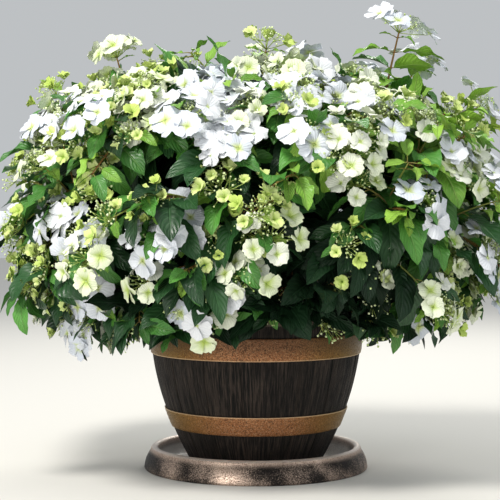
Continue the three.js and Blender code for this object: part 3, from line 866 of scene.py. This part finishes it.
def patch(direction, middle, width, height, rise):
    """1 in the middle of a patch of the crown, falling away over its width and rise in degrees"""
    azimuth = np.degrees(np.arctan2(direction[:, 0], -direction[:, 1]))
    return bell(azimuth, middle, width) * bell(elevations(direction), height, rise)


def dark_hollow(direction):
    """How far a direction lies in the shaded, nearly flowerless lower right of the front, from 0 to 1"""
    return np.minimum(1, 1.4 * patch(direction, *HOLLOW))


# Leaves
LEAF_ROWS, LEAF_COLUMNS = 11, 5
LEAF_DROOP = 0.28  # how far a leaf's tip hangs, as a share of its length
HEM_SPREAD = (-0.012, 0.05)  # how much lower or higher a leaf's own hem lies
HEM_LIFTS, HEM_LIFT = 4, 0.32  # steps by which a low leaf is lifted, and how much each adds
PETIOLE_ARCH, PETIOLE_INSET = 0.0015, 0.003  # how far a petiole rises, and reaches into its blade
# How much narrower the blades at the top are, from what height, and over what rise
NARROWED, NARROW_FROM, NARROW_OVER = 0.3, 0.46, 0.16


def kept_clear(root, along, length, rng):
    """Leaves that would hang below the hem are lifted step by step, and the rest are left out. Each
    leaf's own hem is a little higher or lower than its neighbour's"""
    reach = np.array([0.0, 0.5, 0.95])[:, None]
    own = rng.uniform(*HEM_SPREAD, (len(root), 1))
    for _ in range(HEM_LIFTS):
        run = (along[:, None] * reach - UP * reach**2 * LEAF_DROOP) * length[:, None, None]
        points = root[:, None] + run
        low = (points[..., 2] < hem(points) + own).any(axis=1)
        along = unit(along + UP * HEM_LIFT * low[:, None])
    return ~low, along


def pair_of_leaves(curves, place, quarter, size, rng):
    """Opposite leaves at one place on each shoot, by the source's rule: where each petiole leaves the
    twig, and roots, directions, faces and lengths, for both sides"""
    at, heading = at_share(curves, place)
    outward = unit(at - HEART)
    face = unit(outward * 0.6 + UP * 0.8)
    turn = (math.pi / 2 if quarter else 0) + 0.7 * (rng.random(len(at)) - 0.5)
    side = rolled(unit(np.cross(heading, face)), heading, turn)
    hang = np.clip(0.44 - 0.85 * outward[:, 2], 0.12, 0.8)
    rows = []
    for sign in (1, -1):
        along = side * sign + heading * rng.uniform(0.55, 0.9, (len(at), 1))
        along[:, 2] = along[:, 2] * 0.5 - hang * rng.uniform(0.6, 1.4, len(at))
        along = unit(along)
        length = size * rng.uniform(*LEAF_LENGTHS, len(at))
        root = at + along * rng.uniform(*PETIOLE_LENGTHS, (len(at), 1))
        rows.append((at, root, along, face, length))
    return [np.concatenate(column) for column in zip(*rows)]


def add_leaves(bundle, root, along, face, length, breadth, tint, rng):
    """Blades on a grid of 11 by 5 points. The half width is length * s^0.7 * (1-s)^0.95, scaled, with
    every other station of the margin drawn in as a tooth. The midrib bends down on an arc of a circle,
    the halves fold up from it, and the margin waves"""
    count = len(root)
    between = chooser(rng, count, 1, 1)
    s = np.linspace(0, 1, LEAF_ROWS)[:, None]
    t = np.linspace(-1, 1, LEAF_COLUMNS)
    outline = s**0.7 * (1 - s) ** 0.95
    outline = outline / outline.max()
    teeth = 1 - 0.07 * (np.arange(LEAF_ROWS) % 2)[:, None] * (np.abs(t) == 1)
    size, breadth = length[:, None, None], breadth[:, None, None]
    half = size * between(0.2, 0.285) * breadth * outline * teeth + 0.0004
    bend, fold = between(0.25, 1.35), between(0.1, 0.5)
    height, waves, start = between(0.02, 0.09), between(1.6, 2.6), between(0, TURN)
    wave = height * size * np.sin(TURN * waves * s + start + 1.5 * t) * t**2 * outline
    lift = fold * np.abs(t) * half + wave
    angle = bend * s
    ahead = size * np.sin(angle) / bend + lift * np.sin(angle)
    up = lift * np.cos(angle) - size * (1 - np.cos(angle)) / bend
    local = stacked(t * half * np.cos(fold * 0.8), ahead, up)
    axes = facing(along, rolled(face, along, rng.uniform(-0.55, 0.55, count)))
    points = np.einsum("nij,nuvj->nuvi", axes, local) + root[:, None, None]
    faces = grid_faces(count, LEAF_ROWS, LEAF_COLUMNS)
    bundle.add(points, [faces], stacked((t + 1) / 2, s), tint[:, None, None])


# Flower heads
# The share of heads in full white flower, and where they are denser or rarer: how much, then azimuth
# and width, elevation and rise
WHITE_EVERYWHERE, WHITE_MOST = 0.13, 0.8
LEFT_HEM = (-82, 32, -36, 18)
WHITE_PLACES = (
    (0.58, -3, 24, 36, 15),
    (0.26, -40, 30, 6, 26),
    (0.34, -14, 20, -15, 15),
    (0.5, 41, 14, 3, 13),
    (0.12, 55, 26, 42, 16),
    (0.3, -12, 30, 50, 12),
    (-0.35, 17, 10, 13, 10),
    (-0.25, 0, 10, 0, 9),
    (0.28, -168, 50, 5, 45),
    (0.28, 168, 50, 5, 45),
)


def whiteness(direction):
    """The share of heads in full white flower: most at the top and front left, least in the hollow"""
    share = WHITE_EVERYWHERE + sum(more * patch(direction, *place) for more, *place in WHITE_PLACES)
    return np.clip(share * (1 - 0.7 * patch(direction, *LEFT_HEM)), 0, WHITE_MOST)


# Heads in full flower, half open ones with cream cups, and young ones with lime cups. Each form has
# the count of florets, their reach and rise from the head's base, their radius, how far they are
# closed, their tint, and how far they lean out
FLORET_PARTS = ("count", "reach", "rise", "radius", "closure", "tint", "tilt")
FLORET_BOUNDS = {
    "white": ((4, 6), (0.027, 0.045), (0.006, 0.022), (0.019, 0.0265), (0.05, 0.55), (0, 0.8), (0.1, 0.75)),
    "cream": ((4, 7), (0.024, 0.038), (0.008, 0.024), (0.0155, 0.0215), (0.3, 0.85), (0, 1), (0.3, 0.95)),
    "lime": ((3, 6), (0.022, 0.036), (0.006, 0.026), (0.012, 0.0185), (0.85, 1.45), (0, 1), (0.1, 0.75)),
}
FLORET_FORMS = {name: dict(zip(FLORET_PARTS, bounds)) for name, bounds in FLORET_BOUNDS.items()}
FLORET_KINDS = list(FLORET_FORMS)


def head_kinds(direction, rng):
    """Which form of floret each head bears, and one more number for heads that bear only buds"""
    white = whiteness(direction)
    cream = (1 - white) * (0.22 + 0.2 * bell(elevations(direction), 50, 35))
    lime = (1 - white - cream) * 0.72
    draw = rng.random(len(direction))
    return (draw > white).astype(int) + (draw > white + cream) + (draw > white + cream + lime)


# How far out each row of a petal lies at its middle and at its sides, and its half width
PETAL_MIDDLES = np.array([0.06, 0.42, 0.76, 1.0])
PETAL_SIDES = np.array([0.06, 0.33, 0.55, 0.75])
PETAL_HALF_WIDTHS = np.array([0.1, 0.54, 0.75, 0.63])
PETAL_COLUMNS = 7
PETAL_TEETH = np.array([0, 1, -1, 1, -1, 1, 0])


def add_florets(bundle, centre, face, radius, closure, tint, rng):
    """Four petals each, on grids of 4 by 7 points. The rows lie at stations of distance and half width
    and fall back to the sides by t squared, which rounds the end. The margin is crimped by teeth and
    a sine, one side lies over the neighbour, and the whole petal rises from the face by the closure
    angle, steepest at its root"""
    count = len(centre)
    between = chooser(rng, count, 4, 1, 1)
    s, sides, widths = (row[:, None] for row in (PETAL_MIDDLES, PETAL_SIDES, PETAL_HALF_WIDTHS))
    t = np.linspace(-1, 1, PETAL_COLUMNS)
    radius, closure, tint = (part[:, None, None, None] for part in (radius, closure, tint))
    size = radius * between(0.9, 1.1)
    crimp = 1 + (0.045 * np.sin(between(3, 6) * t + between(0, TURN)) + 0.055 * PETAL_TEETH) * s**3
    out = size * (s - (s - sides) * t**2) * crimp
    across = size * t * (1.12 - 0.12 * t**2) * widths * between(0.92, 1.08)
    rise = closure * (1.3 - 0.55 * s) + between(-0.13, 0.17)
    closing = np.cos(np.clip(closure, 0, 1.5))
    lay = 0.22 * across + size * s**2 * 0.1 * np.sin(between(2, 5) * t + between(0, TURN))
    curl = -size * 0.06 * s**4 * (1 + t**2) * closing
    cup = (1 - closing) * size * 0.5 * (across / size) ** 2
    ahead = out * np.cos(rise)
    up = out * np.sin(rise) + lay + curl + cup + 0.06 * size * (1 - s)
    across = across * (0.45 + 0.55 * closing)
    quarter = (np.arange(4) * TURN / 4)[:, None, None] + between(-0.09, 0.09)
    cosine, sine = np.cos(quarter), np.sin(quarter)
    local = stacked(ahead * cosine - across * sine, ahead * sine + across * cosine, up)
    axes = facing(np.cross(unit(rng.normal(size=(count, 3))), face), face)
    points = np.einsum("nij,nkuvj->nkuvi", axes, local) + centre[:, None, None, None]
    # The rows run out and the columns across, so the quads are turned over to face outward
    faces = grid_faces(count * 4, len(PETAL_MIDDLES), PETAL_COLUMNS)[:, ::-1]
    bundle.add(points, [faces], stacked((t + 1) / 2, s), tint)


BEAD = np.array([[1, 0, 0], [-1, 0, 0], [0, 1, 0], [0, -1, 0], [0, 0, 1], [0, 0, -1]], dtype=float)
BEAD_FACES = np.array([
    [0, 2, 4], [2, 1, 4], [1, 3, 4], [3, 0, 4], [2, 0, 5], [1, 2, 5], [3, 1, 5], [0, 3, 5]
])


def add_beads(bundle, centre, radius, tint, rng):
    """Small round buds, each an octahedron turned at random"""
    count = len(centre)
    axes = facing(rng.normal(size=(count, 3)), rng.normal(size=(count, 3)))
    points = np.einsum("nij,kj->nki", axes, BEAD) * radius[:, None, None] + centre[:, None]
    faces = (BEAD_FACES + (np.arange(count) * len(BEAD))[:, None, None]).reshape(-1, 3)
    bundle.add(points, [faces], BEAD[:, :2] * 0.5 + 0.5, tint[:, None])


BUDS, RAYS = 42, 7
BUD_RADII = (0.0014, 0.0024)
BUD_DOME, FORK_DOME = 0.026, 0.014  # radii of the domes of the buds and of the rays' forks
BUD_TILT, RAY_TILT = math.radians(66), math.radians(44)  # of the outermost ones, from the axis
HEAD_SINK = 0.004  # how far under the shoot's tip the rays leave it
FLORET_CLEAR = 0.006  # how near a floret's plane a leaf may come within its petals
FLORET_HEM = 0.016  # how far over the hem a floret's centre stays
BEAD_PROUD, BEAD_SHARE = 0.0012, 0.08  # a floret's bead: how far out, and its radius by the floret's
STALK_SHORT, STALK_SAG = 0.001, 0.003  # how far under the floret its stalk ends, and how far it sags


def cluster_template():
    """Buds on a dome by the golden angle, and the rays under them: directions of the buds, directions
    of the rays, and the ray that each bud's pedicel leaves"""
    i = np.arange(BUDS) + 0.5
    buds = domed(np.arccos(1 - i / BUDS * (1 - math.cos(BUD_TILT))), i * math.radians(GOLDEN_ANGLE))
    outer = RAYS - 1
    tilt = np.where(np.arange(RAYS) < outer, RAY_TILT, 0.0)
    rays = domed(tilt, np.arange(RAYS) * TURN / outer)
    return buds, rays, np.argmax(buds @ rays.T, axis=1)


def head_axes(curves, rng):
    """Tips of the shoots and the directions in which their heads face, by the source's rule"""
    tip, heading = at_share(curves, 1.0)
    outward = unit(tip - HEART)
    axis = unit(outward * 0.75 + UP * 0.6 + heading * 0.25)
    across = rng.random((len(tip), 3)) - 0.5
    return tip, axis, facing(np.cross(across, axis), axis)


def grow_heads(curves, scale, rng):
    """What every head needs: where its rays fork, its axis, its frame, its form and its scale"""
    tip, axis, axes = head_axes(curves, rng)
    kind = head_kinds(unit(tip - HEART), rng)
    borne = [FLORET_KINDS.index(sprig[3]) for sprig in SPRIGS if sprig[3] != "leaves"]
    kind[: len(borne)] = borne
    return {"base": tip - axis * HEAD_SINK, "axis": axis, "axes": axes, "kind": kind, "scale": scale}


def add_bud_clusters(beads, stalks, heads, rng):
    """Buds over a dome, on pedicels that leave the forks of a few rays"""
    buds, rays, fork_of = cluster_template()
    base, axes = heads["base"][:, None], heads["axes"]
    number = len(base)
    spread = (np.where(heads["kind"] == 0, 0.95, 1.15) * heads["scale"])[:, None, None]
    jitter = rng.normal(scale=0.1, size=(number, BUDS, 3))
    arm = np.einsum("nij,nkj->nki", axes, buds + jitter) * BUD_DOME * spread
    bud_at = base + arm * rng.uniform(0.85, 1.1, (number, BUDS, 1))
    fork_at = base + np.einsum("nij,kj->nki", axes, rays) * FORK_DOME * spread
    tint = rng.uniform(0, 0.6, (number, BUDS)) + rng.uniform(0, 0.4, (number, 1))
    radius = rng.uniform(*BUD_RADII, (number, BUDS)) * np.sqrt(spread[:, :, 0])
    add_beads(beads, bud_at.reshape(-1, 3), radius.reshape(-1), tint.reshape(-1), rng)
    for starts, ends, radii, tone in (
        (np.broadcast_to(base, fork_at.shape), fork_at, RAY_RADII, 0.3),
        (fork_at[:, fork_of], bud_at, PEDICEL_RADII, 0.7),
    ):
        add_tubes(stalks, straight(starts.reshape(-1, 3), ends.reshape(-1, 3)), radii, 3, 1, tone)


def place_florets(heads, rng):
    """The showy florets round each head: for each form, what every floret needs"""
    placed = []
    for kind, form in enumerate(FLORET_FORMS.values()):
        chosen = np.flatnonzero(heads["kind"] == kind)
        base, axis, axes = (heads[part][chosen] for part in ("base", "axis", "axes"))
        fewest, most = form["count"]
        count = rng.integers(fewest, most + 1, len(chosen))[:, None]
        place = np.arange(most)[None, :]
        between = chooser(rng, len(chosen), most)
        angle = rng.uniform(0, TURN, (len(chosen), 1)) + place * TURN / count + between(-0.35, 0.35)
        cosine, sine = np.cos(angle)[..., None], np.sin(angle)[..., None]
        spoke = axes[:, None, :, 0] * cosine + axes[:, None, :, 1] * sine
        reach = between(*form["reach"]) * heads["scale"][chosen][:, None]
        rise = between(*form["rise"])
        centre = base[:, None] + spoke * reach[..., None] + axis[:, None] * rise[..., None]
        # Heads that face up turn their florets out, so that they show from the side
        above = np.clip((axis[:, 2] - 0.8) / 0.15, 0, 1)[:, None]
        tilt = (between(*form["tilt"]) + 0.5 * above)[..., None]
        face = unit(axis[:, None] + spoke * tilt + rng.normal(scale=0.14, size=centre.shape))
        kept = (place < count) & (centre[..., 2] > hem(centre) + FLORET_HEM)
        own = {"base": np.broadcast_to(base[:, None], centre.shape)[kept]}
        own |= {"centre": centre[kept], "face": face[kept]}
        own |= {part: rng.uniform(*form[part], kept.sum()) for part in ("radius", "closure", "tint")}
        placed.append(own)
    return placed


def pierces(points, florets):
    """Whether any of each leaf's points (N,K,3) lies close to a floret's plane and inside its petals.
    The leaves are taken in 24 lots, which keeps the arrays small"""
    centre, face, radius = (
        np.concatenate([form[part] for form in florets]) for part in ("centre", "face", "radius")
    )
    hit = []
    for some in np.array_split(points, 24):
        apart = some[:, :, None] - centre
        height = np.sum(apart * face, axis=-1)
        beside = np.sum(apart**2, axis=-1) - height**2
        hit.append(((np.abs(height) < FLORET_CLEAR) & (beside < (0.7 * radius) ** 2)).any(axis=(1, 2)))
    return np.concatenate(hit)


def grow_leaves(twigs, bare, florets, rng):
    """Where each petiole leaves its twig, and roots, directions, faces and lengths of the leaves.
    Shoots without a head end in two crossed pairs. Leaves that would pierce a floret are left out"""
    lots = [(curves, RANKS[rank][3]) for rank, curves in twigs.items()] + [(bare, END_LEAVES)]
    columns = [
        pair_of_leaves(curves, place, i % 2 == 1, size, rng)
        for curves, leaves in lots
        for i, (place, size) in enumerate(leaves)
    ]
    fork, root, along, face, length = (np.concatenate(column) for column in zip(*columns))
    kept, along = kept_clear(root, along, length, rng)
    reach = np.array([0.3, 0.55, 0.8])[:, None] * length[:, None, None]
    spine = root[:, None] + along[:, None] * reach - UP * reach**2 * 2.5
    kept &= ~pierces(spine, florets)
    return [column[kept] for column in (fork, root, along, face, length)]


def by_light(root, length, rng):
    """The leaves' order from the deepest green to the lightest, which is painted shade and painted light,
    beside the real paler green of young leaves at the top: low, inner, large and hollow ones are deep, and
    the high right of the crown is light"""
    depth = np.linalg.norm((root - HEART) / [CROWN_HALF_WIDTH, CROWN_HALF_DEPTH, CROWN_RISE], axis=-1)
    light = 1.5 * (root[:, 2] - 0.2) + 0.4 * depth + 0.12 * (root[:, 0] > 0.2) - 18 * length
    light += 0.5 * bell(root[:, 0], 0.28, 0.18) * bell(root[:, 2], 0.52, 0.13)
    light -= 1.1 * dark_hollow(unit(root - HEART))
    return np.argsort(light + rng.uniform(-0.2, 0.2, len(root)))


def build_wood(names, boughs):
    """Stump and boughs as one piece, ribbed and knotted"""

    def knots(share, turn):
        ribs = 0.07 * np.sin(turn * TURN * 5 + 7 * share) * np.sin(share * 31)
        return 1 + ribs + 0.05 * np.sin(turn * TURN * 3 + 19 * share)

    def flutes(radius, height, angle):
        waves = 0.1 * np.sin(angle * 5 + height / 19) + 0.06 * np.sin(angle * 11 - height / 13)
        return radius * waves * np.clip((radius - 3) / 12, 0, 1), 0.0

    wood = add_tubes(Bundle(), boughs, BOUGH_RADII, 12, 26, 0.5, knots)
    add_turned(wood, STUMP_PROFILE, 60, flutes)
    replaced = ["stump", *(f"bough_{name}" for name in names)]
    wood.piece("woody_limbs", finish_of("ridged bark", ridged_bark), "bark", replaced)


def build_twigs(twigs, fork, root, along, foliage, rng):
    """Stems, shoots, side shoots and inner shoots, each with its own tint, and the petioles"""
    bundle = Bundle()
    for rank, curves in twigs.items():
        radii, sides, steps, _ = RANKS[rank]
        tint = 0.9 if rank == "stems" else rng.random(len(curves))
        add_tubes(bundle, curves, radii, sides, steps, tint)
    bend, end = (fork + root) / 2 + UP * PETIOLE_ARCH, root + along * PETIOLE_INSET
    petioles = np.stack([fork, bend, end], axis=1)
    add_tubes(bundle, petioles, PETIOLE_RADII, 4, 2, 0.2)
    bundle.piece("twigs", finish_of("green twig", green_twig), "foliage", foliage)


def build_leaves(root, along, face, length, foliage, rng):
    """Leaves, narrower at the top, and dealt out to the finishes by how much light they get"""
    breadth = 1 - NARROWED * np.clip((root[:, 2] - NARROW_FROM) / NARROW_OVER, 0, 1)
    order = by_light(root, length, rng)
    cuts = [int(len(order) * share) for share in LEAF_CUTS]
    for (name, wire), chosen in zip(LEAF_FINISHES.items(), np.array_split(order, cuts)):
        leaves = Bundle()
        own = (column[chosen] for column in (root, along, face, length, breadth))
        add_leaves(leaves, *own, rng.random(len(chosen)), rng)
        leaves.piece(name, finish_of(name.replace("_", " "), wire), "foliage", foliage)


def build_heads(heads, florets, foliage, rng):
    """Clusters of buds, and florets on arched stalks with a bead in the heart of each"""
    beads, stalks = Bundle(), Bundle()
    add_bud_clusters(beads, stalks, heads, rng)
    for kind, own in zip(FLORET_KINDS, florets):
        petals = Bundle()
        base, centre, face, radius = (own[part] for part in ("base", "centre", "face", "radius"))
        add_florets(petals, centre, face, radius, own["closure"], own["tint"], rng)
        bead_tint = np.full(len(centre), 0.9)
        add_beads(beads, centre + face * BEAD_PROUD, radius * BEAD_SHARE, bead_tint, rng)
        under = centre - face * STALK_SHORT
        bend = (base + under) / 2 - face * STALK_SAG
        add_tubes(stalks, np.stack([base, bend, under], axis=1), FLORET_STALK_RADII, 3, 2, 0.4)
        finish = finish_of(f"{kind} petal", PETAL_FINISHES[kind])
        petals.piece(f"petals_{kind}", finish, "foliage", foliage)
    beads.piece("buds", finish_of("cream bud", bud_finish), "foliage", foliage)
    stalks.piece("flower_stalks", finish_of("flower stalk", stalk_finish), "foliage", foliage)


def build_plant():
    """The limbs and all that grows on them. Every draw comes in one order from one seeded generator,
    so the growth is worked out first and the pieces are built after it"""
    names, directions, boughs, stems = grow_limbs()
    foliage = [f"foliage_{name}" for name in names]
    rng = np.random.default_rng(DRESSING_SEED)
    shoots, flowers, size, mass = grow_shoots(directions, stems)
    draw = stream(HOLLOW_STREAM)
    lots = np.array([draw() for _ in shoots])
    flowers &= lots > 0.97 * dark_hollow(unit(shoots[:, 2] - HEART))
    sides, side_flowers, side_size = grow_side_shoots(directions, shoots, mass, SIDE_SHOOTS, SIDE_TURN, 0.0)
    inner, _, _ = grow_side_shoots(directions, shoots, mass, INNER_SHOOTS, INNER_TURN, INNER_DEPTH)
    twigs = {"stems": stems, "shoots": shoots, "sides": sides, "inner": inner}
    bearing = np.concatenate([shoots[flowers], sides[side_flowers]])
    heads = grow_heads(bearing, np.concatenate([size[flowers], side_size[side_flowers]]), rng)
    florets = place_florets(heads, rng)
    bare = np.concatenate([shoots[~flowers], sides[~side_flowers]])
    fork, root, along, face, length = grow_leaves(twigs, bare, florets, rng)
    build_wood(names, boughs)
    build_twigs(twigs, fork, root, along, foliage, rng)
    build_leaves(root, along, face, length, foliage, rng)
    build_heads(heads, florets, foliage, rng)


# Floor, light and camera
FLOOR_REACH = 9.0
SKY, SKY_STRENGTH = "eef2f5", 0.6
# For each round lamp: its place, what it is aimed at, its size, power and colour
LAMPS = {
    "key": ((-1.0, -1.5, 2.9), (0, 0, 0.4), 0.9, 92, (1.0, 0.97, 0.91)),
    "fill": ((2.4, -1.6, 1.5), (0, 0, 0.35), 2.0, 12, (0.93, 0.97, 1.0)),
    "rim": ((0.6, 2.4, 2.2), (0, 0, 0.45), 1.4, 44, (1.0, 0.98, 0.92)),
    "low": ((-1.1, -2.0, 0.5), (0, 0, 0.03), 0.9, 14, (1.0, 0.97, 0.93)),
}
# The photograph's width, focal length, and how far its horizon lies above its middle, in pixels
PHOTO_WIDTH, PHOTO_FOCAL, PHOTO_HORIZON = 500, 1562, 50
EYE = (-0.0096, -2.5, 0.428)
SENSOR_WIDTH = 36.0


def pale_floor(board):
    return surface("dcdad5", 0.9)


def staged(name, data):
    """An object of the studio, linked into the scene"""
    made = bpy.data.objects.new(name, data)
    bpy.context.scene.collection.objects.link(made)
    return made


def build_floor():
    mesh = bpy.data.meshes.new("floor")
    corners = [(x * FLOOR_REACH, y * FLOOR_REACH, 0) for x, y in ((-1, -1), (1, -1), (1, 1), (-1, 1))]
    mesh.from_pydata(corners, [], [(0, 1, 2, 3)])
    mesh.materials.append(finish_of("pale floor", pale_floor))
    floor = staged("floor", mesh)


def look(direction):
    """Turns a lamp's -Z along a direction, with +Y kept up"""
    x, y, z = direction
    return (math.atan2(math.hypot(x, y), -z), 0.0, math.atan2(-x, y))


def build_light():
    """A pale sky and the lamps"""
    world = bpy.data.worlds.new("studio")
    world.use_nodes = True
    background = world.node_tree.nodes["Background"]
    background.inputs["Color"].default_value = paint(SKY)
    background.inputs["Strength"].default_value = SKY_STRENGTH
    bpy.context.scene.world = world
    for name, (place, aim, size, power, colour) in LAMPS.items():
        lamp = bpy.data.lights.new(name, "AREA")
        lamp.shape, lamp.size, lamp.energy, lamp.color = "DISK", size, power, colour
        made = staged(name, lamp)
        made.location = place
        made.rotation_euler = look(np.array(aim) - place)


def build_camera():
    """At the photograph's height and pitch"""
    lens = bpy.data.cameras.new("camera")
    lens.sensor_fit, lens.sensor_width = "HORIZONTAL", SENSOR_WIDTH
    lens.lens = SENSOR_WIDTH * PHOTO_FOCAL / PHOTO_WIDTH
    lens.clip_start, lens.clip_end = 0.05, 60.0
    camera = staged("camera", lens)
    camera.location = EYE
    camera.rotation_euler = (math.pi / 2 - math.atan2(PHOTO_HORIZON, PHOTO_FOCAL), 0.0, 0.0)
    bpy.context.scene.camera = camera


build_saucer()
build_pot()
build_hoops()
build_compost()
build_plant()
build_floor()
build_light()
build_camera()
bpy.context.scene.view_settings.view_transform = "Standard"
